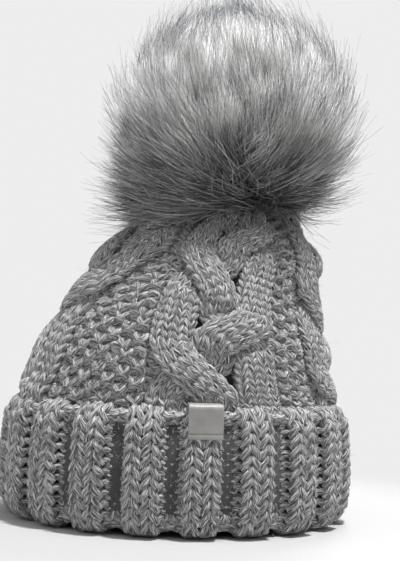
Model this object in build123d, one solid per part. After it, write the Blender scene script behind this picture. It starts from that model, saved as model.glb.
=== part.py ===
"""Pom pom beanie: a chunky cable-knit hat with a turned-up rib cuff and a detachable faux fur pom pom.

The hat stands on its cuff. The origin is the centre of the head opening, in the plane of the cuff's
bottom edge. +Z is up, and -Y is the front, where the folded label is. The crown leans towards +X.
Each function makes one sub-part, and every sub-part is written to its own STEP file.
"""
from build123d import *
from math import atan2, cos, degrees, radians, sin, sqrt
import os

# ---- driving dimensions, millimetres ----
GAP = 0.3                  # space between neighbouring soft layers
ROUNDNESS = 8.0            # how much shorter the hat's front-to-back radius is than its side radius

CUFF_HEIGHT = 69.0
CUFF_INSIDE = 93.0         # side radius of the cuff's inner surface
CUFF_PROFILE = [           # height, side radius of the outer surface
    (0.0, 97.5),
    (11.0, 100.5),
    (33.0, 101.5),
    (55.0, 100.0),
    (CUFF_HEIGHT, 98.0),
]
FOLD_HEIGHT = 8.0          # thickness of the roll where the knit turns up at the bottom edge
FOLD_EDGE_ROUND = 3.0
CUFF_TOP_ROUND = 2.2

BAND_WALL = 6.0            # inner layer of rib knit, behind the cuff
BAND_TOP = 62.7
EAR_BAND_WALL = 3.0        # fleece
EAR_BAND_BOTTOM = 11.0
EAR_BAND_TOP = 60.0
EAR_BAND_STITCHES = 36     # along each edge

CROWN_WALL = 6.0
CROWN_SECTIONS = [         # height, centre x, side radius, front radius
    (63.0, 0.0, 90.0, 82.0),
    (80.0, 0.0, 88.5, 81.0),
    (98.0, 3.0, 84.0, 78.5),
    (116.0, 6.0, 77.0, 74.0),
    (134.0, 11.0, 70.5, 68.0),
    (150.0, 16.0, 67.0, 60.5),
    (164.0, 20.0, 57.0, 50.0),
    (176.0, 25.0, 43.0, 36.5),
    (185.0, 31.0, 24.0, 22.0),
    (190.0, 34.0, 14.0, 14.0),
]
CROWN_INNER_LEVELS = 8     # the cavity follows this many of the sections
CAVITY_TOP = 182.0
CAVITY_TOP_RADII = (19.0, 17.0)

AXIS_X = 34.0              # the gathered top, the snap and the pom pom are centred on this x
GATHER_TOP = 190.0
GATHER_HOLE = 9.6
GATHER_YARN = 2.0          # radius of the yarn that draws the top closed
GATHER_TURN = 7.3          # radius of its loop

SEAM_WIDTH = 6.0
SEAM_DEPTH = 2.0
SEAM_FOOT = 66.0
SEAM_HEAD = 172.0
SEAM_LEAN = 22.0           # how far the seam's head stands towards +X

PATCH_RADIUS = 13.0
PATCH_THICK = 2.0
PATCH_TOP = 181.7
PATCH_STITCHES = 8

CAP_RADIUS = 6.2
CAP_THICK = 1.2
POST_RADIUS = 1.5
STUD_FLANGE = 6.5
STUD_BASE = 190.3
STUD_NECK = 2.6
STUD_HEAD = 3.0
STUD_TOP = 194.8
SPRING_LOOP = 3.5
SPRING_WIRE = 0.35
SPRING_LEVEL = 192.2
SOCKET_RADIUS = 6.0
SOCKET_BORE = 3.4
SOCKET_GROOVE = 4.2
SOCKET_BASE = 191.5
SOCKET_TOP = 196.0
RIVET_RADIUS = 1.3

WEB_RADIUS = 10.0          # fabric disc that the socket is riveted to
WEB_BASE = 196.3
WEB_THICK = 1.2
COLLAR_RADIUS = 14.0       # felt collar that closes the neck of the fur
COLLAR_HOLE = 7.5
COLLAR_BASE = 201.5
COLLAR_THICK = 1.5

CORE_LEVEL = 231.5         # height of the centre of the stuffed core
CORE_RADIUS = 28.0
CORE_WALL = 1.5
NECK_RADIUS = 9.0
DRAW_CORD = 1.2
DRAW_TURN = 12.2

PILE_LEVEL = 228.0         # height of the centre of the fur ball
PILE_RADIUS = 75.0
PILE_NECK = 17.0
PILE_NECK_LEVEL = 198.0
PILE_SKIRT = 63.4          # radius where the underside meets the ball
PILE_SKIRT_LEVEL = 188.0
PILE_SKIRT_ROUND = 10.0

LABEL_X = 17.0
LABEL_WIDTH = 18.5
LABEL_THICK = 0.8
LABEL_DROP = 17.5          # how far the front leaf hangs down the cuff
LABEL_INNER_DROP = 5.5
LABEL_STITCHES = 6

CARE_WIDTH = 24.0
CARE_HEIGHT = 36.0
CARE_THICK = 0.6
CARE_TOP = 58.0

STITCH_LENGTH = 3.2
STITCH_THICK = 0.7

LARGE = 400.0              # longer than anything in the hat


def oval(height, centre_x, side, front):
    """A level oval face."""
    return Pos(centre_x, 0, height) * Ellipse(side, front).face()


def oval_wall(outer_side, wall, bottom, top):
    """An upright oval tube, concentric with the cuff."""
    outer = Ellipse(outer_side, outer_side - ROUNDNESS)
    inner = Ellipse(outer_side - wall, outer_side - wall - ROUNDNESS)
    return Pos(0, 0, bottom) * extrude(outer - inner, top - bottom)


def turned(points):
    """A solid of revolution about the pom pom's axis from (radius, height) points."""
    profile = Plane.XZ * Polygon(*points, align=None)
    return Pos(AXIS_X, 0, 0) * revolve(profile, Axis.Z)


def ring(level, loop, wire):
    """A round ring about the pom pom's axis."""
    return Pos(AXIS_X, 0, level) * Torus(loop, wire)


def stitch(position, heading):
    """One short sewing stitch lying flat, pointing along heading degrees."""
    bar = Box(STITCH_LENGTH, STITCH_THICK, STITCH_THICK)
    bar = fillet(bar.edges().filter_by(Axis.X), STITCH_THICK * 0.4)
    return Pos(*position) * Rot(0, 0, heading) * bar


def cuff_skin():
    """The cuff's barrel-shaped outside."""
    return loft([oval(z, 0, side, side - ROUNDNESS) for z, side in CUFF_PROFILE])


def turned_up_cuff():
    """The outer rib layer with the roll at the bottom edge, open above the roll for the rib band."""
    fold_inside = CUFF_INSIDE - GAP - BAND_WALL
    hollow = Ellipse(CUFF_INSIDE, CUFF_INSIDE - ROUNDNESS)
    through = Ellipse(fold_inside, fold_inside - ROUNDNESS)
    body = cuff_skin()
    body -= Pos(0, 0, FOLD_HEIGHT) * extrude(hollow, CUFF_HEIGHT)
    body -= Pos(0, 0, -1) * extrude(through, CUFF_HEIGHT)
    levels = body.edges().group_by(Axis.Z)
    body = fillet(levels[-1], CUFF_TOP_ROUND)
    levels = body.edges().group_by(Axis.Z)
    return fillet(levels[0], FOLD_EDGE_ROUND)


def rib_band():
    """The inner rib layer, which stands on the roll and carries the crown."""
    return oval_wall(CUFF_INSIDE - GAP, BAND_WALL, FOLD_HEIGHT + GAP, BAND_TOP)


def ear_band_outside():
    return CUFF_INSIDE - GAP - BAND_WALL - GAP


def fleece_ear_band():
    """The fleece band sewn round the inside."""
    return oval_wall(ear_band_outside(), EAR_BAND_WALL, EAR_BAND_BOTTOM, EAR_BAND_TOP)


def ear_band_stitches():
    """Running stitches just inside both edges of the fleece."""
    side = ear_band_outside() - EAR_BAND_WALL - STITCH_THICK
    front = side - ROUNDNESS
    inset = 3.0
    stitches = []
    for level in (EAR_BAND_BOTTOM + inset, EAR_BAND_TOP - inset):
        for n in range(EAR_BAND_STITCHES):
            turn = radians(360.0 * n / EAR_BAND_STITCHES)
            heading = Vector(-side * sin(turn), front * cos(turn), 0)
            angle = Vector(1, 0, 0).get_signed_angle(heading, Vector(0, 0, 1))
            stitches.append(stitch((side * cos(turn), front * sin(turn), level), angle))
    return Compound(children=stitches)


def crown_skin(inset):
    """The crown's leaning dome, moved inwards by inset."""
    return [oval(z, x, side - inset, front - inset) for z, x, side, front in CROWN_SECTIONS]


def crown_cavity(inset):
    """The space under the crown, from below the crown up to a level top."""
    sections = crown_skin(inset)[:CROWN_INNER_LEVELS]
    top_side, top_front = CAVITY_TOP_RADII
    shrink = inset - CROWN_WALL
    _, top_x, _, _ = CROWN_SECTIONS[CROWN_INNER_LEVELS]
    sections.append(oval(CAVITY_TOP - shrink, top_x, top_side - shrink, top_front - shrink))
    return loft(sections)


def knit_crown():
    """The cable-knit crown: a leaning dome drawn in round an eye at its top."""
    eye = Pos(AXIS_X, 0, CAVITY_TOP - 1) * extrude(Circle(GATHER_HOLE), LARGE)
    return loft(crown_skin(0)) - crown_cavity(CROWN_WALL) - eye


def gather_yarn():
    """The yarn run through the last round of stitches to close the top."""
    return ring(GATHER_TOP - GATHER_YARN - 0.4, GATHER_TURN, GATHER_YARN)


def crown_back_seam():
    """The raised seam up the inside of the back of the crown."""
    near = CROWN_WALL + GAP
    shell = crown_cavity(near) - crown_cavity(near + SEAM_DEPTH)
    half = SEAM_WIDTH / 2
    outline = Polygon(
        (-half, SEAM_FOOT),
        (half, SEAM_FOOT),
        (SEAM_LEAN + half, SEAM_HEAD),
        (SEAM_LEAN - half, SEAM_HEAD),
        align=None,
    )
    strip = extrude(Plane.XZ * outline, -LARGE)
    return shell & strip


def crown_patch():
    """The felt disc inside the top of the crown that the stud pulls on."""
    disc = Circle(PATCH_RADIUS) - Circle(POST_RADIUS + GAP)
    return Pos(AXIS_X, 0, PATCH_TOP - PATCH_THICK) * extrude(disc, PATCH_THICK)


def patch_stitches():
    """Stitches that hold the patch, spaced round its underside."""
    loop = PATCH_RADIUS - 2.0
    level = PATCH_TOP - PATCH_THICK - STITCH_THICK / 2 - 0.1
    stitches = []
    for n in range(PATCH_STITCHES):
        turn = 360.0 * n / PATCH_STITCHES
        x = AXIS_X + loop * cos(radians(turn))
        y = loop * sin(radians(turn))
        stitches.append(stitch((x, y, level), turn + 90.0))
    return Compound(children=stitches)


def stud_cap():
    """The smooth cap inside the hat, with the post that goes up into the stud."""
    top = PATCH_TOP - PATCH_THICK - 0.1
    base = top - CAP_THICK
    post_top = STUD_BASE + 2.6
    return turned([
        (0, base),
        (CAP_RADIUS - 0.8, base),
        (CAP_RADIUS, base + 0.6),
        (CAP_RADIUS, top),
        (POST_RADIUS, top),
        (POST_RADIUS, post_top),
        (0, post_top),
    ])


def snap_stud():
    """The male half of the snap fastener, on top of the crown."""
    bore = POST_RADIUS + 0.1
    deck = STUD_BASE + 0.8
    shoulder = SPRING_LEVEL + 0.6
    return turned([
        (bore, STUD_BASE),
        (STUD_FLANGE, STUD_BASE),
        (STUD_FLANGE, deck),
        (STUD_NECK, deck),
        (STUD_NECK, shoulder),
        (STUD_HEAD, shoulder + 0.4),
        (STUD_HEAD, STUD_TOP - 0.8),
        (STUD_HEAD - 0.8, STUD_TOP),
        (0, STUD_TOP),
        (0, STUD_TOP - 1.2),
        (bore, STUD_TOP - 1.2),
    ])


def snap_spring():
    """The wire ring that grips the stud's neck, drawn as wide as the stud's head opens it."""
    return ring(SPRING_LEVEL, SPRING_LOOP, SPRING_WIRE)


def snap_socket():
    """The female half of the snap fastener, with the groove that holds the wire ring."""
    groove_half = SPRING_WIRE + 0.15
    return turned([
        (SOCKET_BORE, SOCKET_BASE),
        (SOCKET_RADIUS, SOCKET_BASE),
        (SOCKET_RADIUS, SOCKET_TOP),
        (RIVET_RADIUS + 0.1, SOCKET_TOP),
        (RIVET_RADIUS + 0.1, SOCKET_TOP - 0.7),
        (SOCKET_BORE, SOCKET_TOP - 0.7),
        (SOCKET_BORE, SPRING_LEVEL + groove_half),
        (SOCKET_GROOVE, SPRING_LEVEL + groove_half),
        (SOCKET_GROOVE, SPRING_LEVEL - groove_half),
        (SOCKET_BORE, SPRING_LEVEL - groove_half),
    ])


def pom_web():
    """The fabric disc under the pom pom that the socket is riveted to."""
    disc = Circle(WEB_RADIUS) - Circle(RIVET_RADIUS + GAP)
    return Pos(AXIS_X, 0, WEB_BASE) * extrude(disc, WEB_THICK)


def socket_rivet():
    """The cap above the web, whose shank goes down into the socket."""
    base = WEB_BASE + WEB_THICK + 0.1
    foot = SOCKET_TOP - 0.6
    return turned([
        (0, foot),
        (RIVET_RADIUS, foot),
        (RIVET_RADIUS, base),
        (SOCKET_RADIUS, base),
        (SOCKET_RADIUS, base + 0.5),
        (SOCKET_RADIUS - 0.8, base + 1.0),
        (0, base + 1.0),
    ])


def pom_collar():
    """The felt collar sewn over the drawn-in neck of the fur."""
    disc = Circle(COLLAR_RADIUS) - Circle(COLLAR_HOLE)
    return Pos(AXIS_X, 0, COLLAR_BASE) * extrude(disc, COLLAR_THICK)


def pom_backing():
    """The knitted backing of the fur, drawn into a bag with an open neck."""
    bag = Sphere(CORE_RADIUS) - Sphere(CORE_RADIUS - CORE_WALL)
    neck = Pos(0, 0, -CORE_RADIUS) * Cylinder(NECK_RADIUS, CORE_RADIUS)
    return Pos(AXIS_X, 0, CORE_LEVEL) * (bag - neck)


def pom_stuffing():
    """The ball of fibre fill inside the backing."""
    return Pos(AXIS_X, 0, CORE_LEVEL) * Sphere(CORE_RADIUS - CORE_WALL - GAP)


def pom_draw_cord():
    """The cord that draws the backing's neck together, wound round under the bag."""
    below = sqrt((CORE_RADIUS + GAP + DRAW_CORD) ** 2 - DRAW_TURN**2)
    return ring(CORE_LEVEL - below, DRAW_TURN, DRAW_CORD)


def pom_fur():
    """The pile: a ball with a shallow cone underneath, hollow round the backing and its neck."""
    neck = (PILE_NECK, PILE_NECK_LEVEL)
    pole = (0, PILE_NECK_LEVEL)
    skirt_angle = -degrees(atan2(PILE_LEVEL - PILE_SKIRT_LEVEL, PILE_SKIRT))
    ball = CenterArc((0, PILE_LEVEL), PILE_RADIUS, skirt_angle, 90 - skirt_angle)
    outline = [ball, Line(ball @ 0, neck), Line(neck, pole), Line(pole, ball @ 1)]
    profile = Plane.XZ * make_face(outline)
    body = Pos(AXIS_X, 0, 0) * revolve(profile, Axis.Z)
    circles = body.edges().filter_by(GeomType.CIRCLE)
    skirt_edge = circles.filter_by(lambda edge: abs(edge.radius - PILE_SKIRT) < 1)
    body = fillet(skirt_edge, PILE_SKIRT_ROUND)
    bag_space = Pos(AXIS_X, 0, CORE_LEVEL) * Sphere(CORE_RADIUS + GAP)
    neck_space = Pos(AXIS_X, 0, PILE_NECK_LEVEL - 1) * extrude(Circle(PILE_NECK), 12)
    return body - bag_space - neck_space


def label_front_side():
    """Side radius of the oval that the label's front leaf lies on, clear of the cuff's upper half."""
    return CUFF_PROFILE[3][1] + 2 * GAP


def label_leaf(inner_side, bottom, top):
    """A curved leaf of the label, following the cuff's oval at this radius."""
    leaf = oval_wall(inner_side + LABEL_THICK, LABEL_THICK, bottom, top)
    window = Pos(LABEL_X, -CUFF_INSIDE, 0) * Box(LABEL_WIDTH, CUFF_INSIDE, LARGE)
    return leaf & window


def cuff_label():
    """The label folded over the cuff's top edge, with a leaf on each side of the cuff."""
    outside = label_front_side()
    inside = CUFF_INSIDE - GAP - LABEL_THICK
    crest = CUFF_HEIGHT + GAP + LABEL_THICK
    front = label_leaf(outside, crest - LABEL_DROP, crest)
    back = label_leaf(inside, crest - LABEL_INNER_DROP, crest)
    span = outside + LABEL_THICK - inside
    bridge = oval_wall(outside + LABEL_THICK, span, crest - LABEL_THICK, crest)
    bridge &= Pos(LABEL_X, -CUFF_INSIDE, 0) * Box(LABEL_WIDTH, CUFF_INSIDE, LARGE)
    return front + back + bridge


def label_stitches():
    """The row of stitches along the label's lower edge."""
    side = label_front_side() + LABEL_THICK + STITCH_THICK / 2 + 0.1
    front = side - ROUNDNESS
    level = CUFF_HEIGHT - LABEL_DROP + 2.6
    pitch = (LABEL_WIDTH - 1.0) / LABEL_STITCHES
    stitches = []
    for n in range(LABEL_STITCHES):
        x = LABEL_X + pitch * (n + 0.5 - LABEL_STITCHES / 2)
        y = -front * sqrt(1 - (x / side) ** 2)
        slope = degrees(atan2(front * x, side * side * sqrt(1 - (x / side) ** 2)))
        stitches.append(stitch((x, y, level), slope))
    return Compound(children=stitches)


def care_label():
    """The blank woven care label, hanging inside at the back."""
    inner_front = ear_band_outside() - EAR_BAND_WALL - ROUNDNESS
    y = inner_front - STITCH_THICK - 2.0
    return Pos(0, y, CARE_TOP - CARE_HEIGHT / 2) * Box(CARE_WIDTH, CARE_THICK, CARE_HEIGHT)


SUB_PARTS = [
    turned_up_cuff,
    rib_band,
    fleece_ear_band,
    ear_band_stitches,
    knit_crown,
    gather_yarn,
    crown_back_seam,
    crown_patch,
    patch_stitches,
    stud_cap,
    snap_stud,
    snap_spring,
    snap_socket,
    pom_web,
    socket_rivet,
    pom_collar,
    pom_backing,
    pom_stuffing,
    pom_draw_cord,
    pom_fur,
    cuff_label,
    label_stitches,
    care_label,
]

os.makedirs("parts", exist_ok=True)
for make in SUB_PARTS:
    export_step(make(), f"parts/{make.__name__}.step")
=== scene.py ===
import math

import bpy
import numpy as np
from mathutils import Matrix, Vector
from mathutils.bvhtree import BVHTree


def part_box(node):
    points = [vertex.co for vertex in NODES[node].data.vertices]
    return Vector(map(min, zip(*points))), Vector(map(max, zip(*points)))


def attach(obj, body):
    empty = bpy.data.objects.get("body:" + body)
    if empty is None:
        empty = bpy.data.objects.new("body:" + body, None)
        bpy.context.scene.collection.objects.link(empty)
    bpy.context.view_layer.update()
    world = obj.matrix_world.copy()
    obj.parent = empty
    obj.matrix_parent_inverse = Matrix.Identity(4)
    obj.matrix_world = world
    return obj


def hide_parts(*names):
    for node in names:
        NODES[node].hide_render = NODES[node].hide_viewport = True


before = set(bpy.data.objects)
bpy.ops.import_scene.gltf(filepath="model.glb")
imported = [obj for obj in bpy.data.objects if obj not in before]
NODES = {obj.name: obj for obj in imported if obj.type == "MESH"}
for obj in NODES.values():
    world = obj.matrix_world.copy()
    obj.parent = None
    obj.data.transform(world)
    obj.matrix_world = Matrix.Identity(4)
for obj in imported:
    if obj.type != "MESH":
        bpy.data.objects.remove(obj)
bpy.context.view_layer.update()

MM = 0.001
UV_NAME = "OFBake"            # the yarn and hair patterns are laid out along each strand in this map
SEED = 11
rng = np.random.default_rng(SEED)


# ---------------------------------------------------------------- small maths

def smooth(t):
    t = np.clip(t, 0.0, 1.0)
    return t * t * (3.0 - 2.0 * t)


def unit(v):
    return v / np.maximum(np.linalg.norm(v, axis=-1, keepdims=True), 1e-9)


def wobble(count, size, span):
    """A smoothed random line, so that no two rows of stitches are alike."""
    return np.convolve(rng.normal(0, size, count), np.ones(span) / span, "same")


def full_turn(count):
    """That many angles round a circle, in radians."""
    return np.linspace(0, 2 * np.pi, count, endpoint=False)


def ray_hit(tree, origin, direction):
    """Distance in mm from origin (mm) along direction to the tree's surface, or None."""
    spot, _, _, distance = tree.ray_cast(Vector(origin) * MM, Vector(direction))
    return None if spot is None else distance / MM


def surface_tree(name):
    return BVHTree.FromObject(NODES[name], bpy.context.evaluated_depsgraph_get())


def box_mm(node):
    low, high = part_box(node)
    return np.array(low) / MM, np.array(high) / MM


def measure_ovals(node, levels):
    """Centre x, side radius and front radius of a node's outside at each level, in mm."""
    tree = surface_tree(node)
    far = 400.0
    rows = []
    for z in levels:
        right = far - ray_hit(tree, (far, 0, z), (-1, 0, 0))
        left = ray_hit(tree, (-far, 0, z), (1, 0, 0)) - far
        centre = (left + right) / 2
        front = far - ray_hit(tree, (centre, -far, z), (0, 1, 0))
        rows.append((centre, (right - left) / 2, front))
    return np.array(rows)


# ---------------------------------------------------------------- mesh making

def new_object(name, verts_mm, faces, uvs=None, material=None, smooth_faces=True):
    """A mesh object from vertices in mm. faces is an int array (n, 3) or (n, 4), or a list of them."""
    groups = faces if isinstance(faces, list) else [faces]
    mesh = bpy.data.meshes.new(name)
    loops = np.concatenate([g.ravel() for g in groups]).astype(np.int32)
    totals = np.concatenate([np.full(len(g), g.shape[1]) for g in groups]).astype(np.int32)
    starts = np.concatenate([[0], np.cumsum(totals)[:-1]]).astype(np.int32)
    mesh.vertices.add(len(verts_mm))
    mesh.vertices.foreach_set("co", (np.asarray(verts_mm, np.float32) * MM).ravel())
    mesh.loops.add(len(loops))
    mesh.loops.foreach_set("vertex_index", loops)
    mesh.polygons.add(len(totals))
    mesh.polygons.foreach_set("loop_start", starts)
    mesh.polygons.foreach_set("loop_total", totals)
    if smooth_faces:
        mesh.polygons.foreach_set("use_smooth", np.ones(len(totals), bool))
    if uvs is not None:
        layer = mesh.uv_layers.new(name=UV_NAME)
        layer.data.foreach_set("uv", np.asarray(uvs, np.float32).ravel())
    mesh.update(calc_edges=True)
    mesh.validate(clean_customdata=False)
    obj = bpy.data.objects.new(name, mesh)
    bpy.context.scene.collection.objects.link(obj)
    if material is not None:
        mesh.materials.append(material)
    return obj


MAP_LENGTH = 200.0            # mm of yarn in one length of the map
HAIR_MAP_WIDTH = 0.006        # share of the map that a hair's sides take up
CAP_SPREAD = (0.0, 0.004, 0.002)      # keeps an end's corners apart in the map


class TubeBundle:
    """Gathers closed tubes, each along a centre line, and makes them into pieces."""

    def __init__(self, sides, lobes=0, lobe_depth=0.0, twist=0.0):
        self.sides, self.lobes, self.lobe_depth, self.twist = sides, lobes, lobe_depth, twist
        self.verts, self.faces4, self.faces3, self.uv4, self.uv3 = [], [], [], [], []
        self.count = 0

    def add(self, line, up, radius, tone=None):
        """line, up (R, P, 3) and radius (R, P) make R tubes of P points. tone (R,) is each hair's tint."""
        runs, points, _ = line.shape
        sides = self.sides
        along = unit(np.gradient(line, axis=1))
        side = unit(np.cross(along, up))
        top = np.cross(side, along)
        step = np.linalg.norm(np.diff(line, axis=1), axis=2)
        run = np.concatenate([np.zeros((runs, 1)), np.cumsum(step, axis=1)], axis=1)
        turn = full_turn(sides) + np.pi
        lobe = 1 + self.lobe_depth * np.cos(
            self.lobes * turn[None, None, :] + self.twist * run[:, :, None] * self.lobes)
        rad = radius[:, :, None] * lobe
        ring = (line[:, :, None, :]
                + (rad * np.cos(turn))[..., None] * top[:, :, None, :]
                + (rad * np.sin(turn))[..., None] * side[:, :, None, :])
        self.verts.append(ring.reshape(-1, 3))
        starts = self.count + np.arange(runs)[:, None, None] * points * sides
        i = np.arange(points - 1)[None, :, None] * sides
        k = np.arange(sides)[None, None, :]
        k2 = (k + 1) % sides
        first = starts + i
        quad = np.stack([first + k, first + k2, first + sides + k2, first + sides + k], axis=-1)
        self.faces4.append(quad.reshape(-1, 4))
        u, v = self.strand_map(run) if tone is None else self.hair_map(tone, points)
        self.map_sides(u, v, (runs, points - 1, sides))
        # each end is closed by a fan of triangles round the tube's first side
        fan = np.stack([np.zeros(sides - 2, int), np.arange(2, sides), np.arange(1, sides - 1)], axis=-1)
        self.faces3.append((starts + fan).reshape(-1, 3))
        self.faces3.append((starts + (points - 1) * sides + fan[:, ::-1]).reshape(-1, 3))
        shape = (runs, sides - 2, 3)
        base = 0.5 if tone is None else v[:, :1, :1]
        for end_u in (u[:, :1], u[:, -1:]):
            cap = np.broadcast_to(base, shape) + np.array(CAP_SPREAD)
            self.uv3.append(np.stack([np.broadcast_to(end_u, shape), cap], axis=-1).reshape(-1, 2))
        self.count += runs * points * sides

    def strand_map(self, run):
        """Yarn: u runs along the strand and turns back at the map's edge, v goes once round it."""
        shift = rng.random((len(run), 1)) * 0.25
        u = 1 - np.abs(1 - (shift + run / MAP_LENGTH) % 2)
        v = np.arange(self.sides + 1) / self.sides
        return u[:, :, None], v[None, None, :]

    def hair_map(self, tone, points):
        """Hair: u goes from root to tip, v is the hair's tint, partly its own random tone and partly painted
        light and shade by how high the hair ends.
        """
        tint = np.clip(tone, 0.01, 0.98)[:, None, None]
        u = np.linspace(0, 1, points)[None, :, None] + 0 * tint
        return u, tint + (np.arange(self.sides + 1) / self.sides * HAIR_MAP_WIDTH)[None, None, :]

    def map_sides(self, u, v, shape):
        u0, u1, v0, v1 = u[:, :-1], u[:, 1:], v[..., :-1], v[..., 1:]
        corners = [np.stack([np.broadcast_to(a, shape), np.broadcast_to(b, shape)], axis=-1)
                   for a, b in ((u0, v0), (u0, v1), (u1, v1), (u1, v0))]
        self.uv4.append(np.stack(corners, axis=-2).reshape(-1, 2))

    def strand(self, line, up, radius):
        """One tube of one thickness along line, with up (P, 3) or one vector."""
        line = np.asarray(line)
        self.add(line[None], np.broadcast_to(up, line.shape)[None], np.full((1, len(line)), radius))

    def make(self, name, material):
        verts = np.concatenate(self.verts)
        faces = [np.concatenate(self.faces4), np.concatenate(self.faces3)]
        uvs = np.concatenate([np.concatenate(self.uv4), np.concatenate(self.uv3)])
        return new_object(name, verts, faces, uvs, material)


def grid_faces(rows, columns, closed):
    """Quads of a grid of rows x columns vertices, closed round the columns or not."""
    last = columns if closed else columns - 1
    i, k = np.meshgrid(np.arange(rows - 1), np.arange(last), indexing="ij")
    k2 = (k + 1) % columns
    low, high = i * columns, (i + 1) * columns
    return np.stack([low + k, low + k2, high + k2, high + k], axis=-1).reshape(-1, 4)


def join_skins(name, outer, inner, material, closed_round):
    """A closed piece from two grids (rows, columns, 3) in mm, joined along their edges."""
    rows, columns, _ = outer.shape
    size = rows * columns
    skin = grid_faces(rows, columns, closed_round)
    k = np.arange(columns if closed_round else columns - 1)
    k2 = (k + 1) % columns
    end = (rows - 1) * columns
    faces = [skin, skin[:, ::-1] + size, rim(k2, k, size), rim(end + k, end + k2, size)]
    if not closed_round:
        i = np.arange(rows - 1) * columns
        j = i + columns - 1
        faces += [rim(i, i + columns, size), rim(j + columns, j, size)]
    verts = np.concatenate([outer.reshape(-1, 3), inner.reshape(-1, 3)])
    return new_object(name, verts, [np.concatenate(faces)], None, material)


def rim(a, b, size):
    """Quads from the edge a-b of the outer skin to the inner skin, whose numbers are size higher."""
    return np.stack([a, b, b + size, a + size], axis=-1)


def thick_sheet(name, surface, thickness, material, closed_round):
    """A closed sheet of the given thickness inward from a grid of points."""
    du = np.gradient(surface, axis=1)
    if closed_round:
        du = (np.roll(surface, -1, axis=1) - np.roll(surface, 1, axis=1)) / 2
    normal = unit(np.cross(du, np.gradient(surface, axis=0)))
    return join_skins(name, surface, surface - normal * thickness, material, closed_round)


# ---------------------------------------------------------------- materials

class Paint:
    """A small helper for building a node material around one Principled shader."""

    def __init__(self, name, roughness=0.8, **sockets):
        self.material = bpy.data.materials.new(name)
        self.material.use_nodes = True
        self.tree = self.material.node_tree
        self.shader = self.tree.nodes["Principled BSDF"]
        self.shader.inputs["Roughness"].default_value = roughness
        for socket, value in sockets.items():
            self.shader.inputs[socket.replace("_", " ")].default_value = value

    def node(self, kind, **values):
        made = self.tree.nodes.new(kind)
        for key, value in values.items():
            if hasattr(made, key):
                setattr(made, key, value)
            else:
                made.inputs[key].default_value = value
        return made

    def link(self, source, target):
        self.tree.links.new(source, target)

    def maths(self, operation, a, b=0.0):
        made = self.tree.nodes.new("ShaderNodeMath")
        made.operation = operation
        for socket, value in zip(made.inputs, (a, b)):
            if isinstance(value, (int, float)):
                socket.default_value = value
            else:
                self.link(value, socket)
        return made.outputs[0]

    def weighted(self, a, share, b):
        """share of a and the rest of b."""
        rest = round(1 - share, 2)
        return self.maths("ADD", self.maths("MULTIPLY", a, share), self.maths("MULTIPLY", b, rest))

    def noise(self, vector, scale, detail=2.0, roughness=0.5):
        made = self.node("ShaderNodeTexNoise", Scale=scale, Detail=detail, Roughness=roughness)
        self.link(vector, made.inputs["Vector"])
        return made.outputs["Fac"]

    def ramp(self, fac, stops):
        made = self.tree.nodes.new("ShaderNodeValToRGB")
        ramp = made.color_ramp
        for _ in range(len(stops) - 2):
            ramp.elements.new(0.5)
        for element, (place, colour) in zip(ramp.elements, stops):
            element.position = place
            element.color = (*colour, 1.0)
        self.link(fac, made.inputs[0])
        return made.outputs["Color"]

    def mix(self, a, b, fac, blend="MIX"):
        made = self.tree.nodes.new("ShaderNodeMix")
        made.data_type = "RGBA"
        made.blend_type = blend
        for socket, value in ((made.inputs[0], fac), (made.inputs[6], a), (made.inputs[7], b)):
            if isinstance(value, (int, float)):
                socket.default_value = value
            elif isinstance(value, tuple):
                socket.default_value = (*value, 1.0)
            else:
                self.link(value, socket)
        return made.outputs[2]

    def colour(self, source):
        self.link(source, self.shader.inputs["Base Color"])

    def bump(self, height, strength, distance):
        made = self.node("ShaderNodeBump", Strength=strength, Distance=distance)
        self.link(height, made.inputs["Height"])
        self.link(made.outputs[0], self.shader.inputs["Normal"])

    def uv(self, along, around, lean=0.0):
        """The strand map as a vector of pattern units over the whole map, and its parts u and v."""
        spot = self.tree.nodes.new("ShaderNodeUVMap")
        spot.uv_map = UV_NAME
        parts = self.tree.nodes.new("ShaderNodeSeparateXYZ")
        self.link(spot.outputs[0], parts.inputs[0])
        leaned = self.maths("ADD", self.maths("MULTIPLY", parts.outputs[1], around),
                            self.maths("MULTIPLY", parts.outputs[0], lean))
        joined = self.tree.nodes.new("ShaderNodeCombineXYZ")
        self.link(self.maths("MULTIPLY", parts.outputs[0], along), joined.inputs[0])
        self.link(leaned, joined.inputs[1])
        return joined.outputs[0], parts

    def place(self):
        return self.tree.nodes.new("ShaderNodeTexCoord").outputs["Object"]


def grey(value, warm=0.0):
    return (value * (1 + warm), value, value * (1 - warm))


def yarn_paint(name, dark, mid, light):
    """Heathered wool-blend yarn: fine light and dark fibres running along the strand."""
    paint = Paint(name, 0.88, Sheen_Weight=0.25, Sheen_Roughness=0.5, Specular_IOR_Level=0.25)
    fine, _ = paint.uv(36.0, 24.0, 60.0)
    coarse, _ = paint.uv(90.0, 34.0, 90.0)
    slow, _ = paint.uv(24.0, 2.0)
    fibres = paint.noise(fine, 1.0, 2.0, 0.6)
    strands = paint.noise(coarse, 1.0, 1.0, 0.5)
    heather = paint.noise(slow, 1.0, 1.0, 0.5)
    blend = paint.weighted(fibres, 0.82, strands)
    tone = paint.ramp(blend, [(0.41, dark), (0.50, mid), (0.59, light)])
    shade = paint.ramp(heather, [(0.30, grey(0.88)), (0.70, grey(1.0))])
    paint.colour(paint.mix(tone, shade, 1.0, "MULTIPLY"))
    paint.bump(blend, 0.6, 0.0006)
    return paint.material


def fur_paint(name, stops, tint_low, tint_high, roughness):
    """Pile fibre: a colour that changes from root to tip, times each hair's lightness, which is partly its
    own random tone and partly painted light and shade: lighter for hairs that end high on the ball, darker
    for those that hang low.
    """
    paint = Paint(name, roughness, Specular_IOR_Level=0.18, Sheen_Weight=0.1)
    _, parts = paint.uv(1.0, 1.0)
    length = paint.ramp(parts.outputs[0], stops)
    tint = paint.ramp(parts.outputs[1], [(0.0, tint_low), (1.0, tint_high)])
    paint.colour(paint.mix(length, tint, 1.0, "MULTIPLY"))
    return paint.material


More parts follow.
